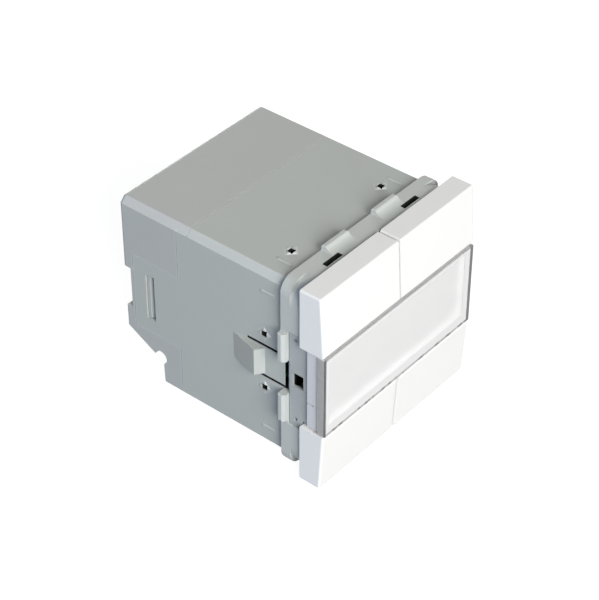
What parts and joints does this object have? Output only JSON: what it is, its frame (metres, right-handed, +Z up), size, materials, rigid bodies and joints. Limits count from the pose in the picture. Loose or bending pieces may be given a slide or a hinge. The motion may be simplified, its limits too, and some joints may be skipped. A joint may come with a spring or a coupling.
{
  "type": "pushbutton switch",
  "caption": "Snap-in bus pushbutton module with hinged keys above and below a label window, a grey moulded case with spring latches and a rear bus terminal socket.",
  "frame": {"origin": "centre of the module in the plane of the lugs' rear faces, where the rim of the support frame rests", "axes": "+Y points rearwards through the case, -Y is the side of the keys, +X is to the right seen from the front and +Z is up"},
  "size_m": [0.0452, 0.0507, 0.0452],
  "materials": {
    "case_plastic": "fine matte moulded thermoplastic, light grey",
    "carrier_plastic": "matte moulded thermoplastic, grey green",
    "key_plastic": "satin white thermoplastic",
    "window_plastic": "matte moulded thermoplastic, pale lilac grey",
    "label_sheet": "blank matt paper",
    "clear_plastic": "clear polished thermoplastic",
    "circuit_board": "glass-fibre board with green solder mask",
    "connector_plastic": "black moulded thermoplastic",
    "pin_metal": "tinned brass",
    "capacitor_can": "drawn aluminium can",
    "choke_core": "sintered ferrite, dull dark grey",
    "chip_package": "moulded epoxy",
    "switch_plastic": "black moulded thermoplastic",
    "plunger_plastic": "natural moulded thermoplastic",
    "lamp_resin": "cast lamp resin"
  },
  "bodies": {
    "housing": {"main_case": "case_plastic", "rear_cover": "case_plastic", "front_carrier": "carrier_plastic", "label_base": "window_plastic", "label_insert": "label_sheet", "label_cover": "clear_plastic", "light_guide": "clear_plastic", "front_board": "circuit_board", "coupler_board": "circuit_board", "link_socket": "connector_plastic", "link_header": "connector_plastic", "bus_pin_header": "connector_plastic", "link_pins": "pin_metal", "bus_pins": "pin_metal", "storage_capacitor": "capacitor_can", "bus_choke": "choke_core", "controller_chip": "chip_package", "upper_right_switch": "switch_plastic", "upper_left_switch": "switch_plastic", "lower_right_switch": "switch_plastic", "lower_left_switch": "switch_plastic", "window_led_1": "lamp_resin", "window_led_2": "lamp_resin", "window_led_3": "lamp_resin", "window_led_4": "lamp_resin"},
    "upper_right_key_body": {"upper_right_key": "key_plastic"},
    "upper_right_plunger_body": {"upper_right_plunger": "plunger_plastic"},
    "upper_left_key_body": {"upper_left_key": "key_plastic"},
    "upper_left_plunger_body": {"upper_left_plunger": "plunger_plastic"},
    "lower_right_key_body": {"lower_right_key": "key_plastic"},
    "lower_right_plunger_body": {"lower_right_plunger": "plunger_plastic"},
    "lower_left_key_body": {"lower_left_key": "key_plastic"},
    "lower_left_plunger_body": {"lower_left_plunger": "plunger_plastic"}
  },
  "joints": [
    {"name": "upper_right_key_hinge", "type": "hinge", "parent": "housing", "child": "upper_right_key_body", "pos_m": [0, -0.0032, 0.0093], "axis": [-1, 0, 0], "range_deg": [0, 2.2], "stiffness_Nm_per_rad": 0.2},
    {"name": "upper_right_plunger_slide", "type": "slide", "parent": "housing", "child": "upper_right_plunger_body", "axis": [0, 1, 0], "range_m": [0, 0.00025]},
    {"name": "upper_left_key_hinge", "type": "hinge", "parent": "housing", "child": "upper_left_key_body", "pos_m": [0, -0.0032, 0.0093], "axis": [-1, 0, 0], "range_deg": [0, 2.2], "stiffness_Nm_per_rad": 0.2},
    {"name": "upper_left_plunger_slide", "type": "slide", "parent": "housing", "child": "upper_left_plunger_body", "axis": [0, 1, 0], "range_m": [0, 0.00025]},
    {"name": "lower_right_key_hinge", "type": "hinge", "parent": "housing", "child": "lower_right_key_body", "pos_m": [0, -0.0032, -0.0093], "axis": [1, 0, 0], "range_deg": [0, 2.2], "stiffness_Nm_per_rad": 0.2},
    {"name": "lower_right_plunger_slide", "type": "slide", "parent": "housing", "child": "lower_right_plunger_body", "axis": [0, 1, 0], "range_m": [0, 0.00025]},
    {"name": "lower_left_key_hinge", "type": "hinge", "parent": "housing", "child": "lower_left_key_body", "pos_m": [0, -0.0032, -0.0093], "axis": [1, 0, 0], "range_deg": [0, 2.2], "stiffness_Nm_per_rad": 0.2},
    {"name": "lower_left_plunger_slide", "type": "slide", "parent": "housing", "child": "lower_left_plunger_body", "axis": [0, 1, 0], "range_m": [0, 0.00025]}
  ],
  "couplings": [
    {"joint": "upper_right_plunger_slide", "follows": "upper_right_key_hinge", "m_per_rad": 0.0061},
    {"joint": "upper_left_plunger_slide", "follows": "upper_left_key_hinge", "m_per_rad": 0.0061},
    {"joint": "lower_right_plunger_slide", "follows": "lower_right_key_hinge", "m_per_rad": 0.0061},
    {"joint": "lower_left_plunger_slide", "follows": "lower_left_key_hinge", "m_per_rad": 0.0061}
  ]
}
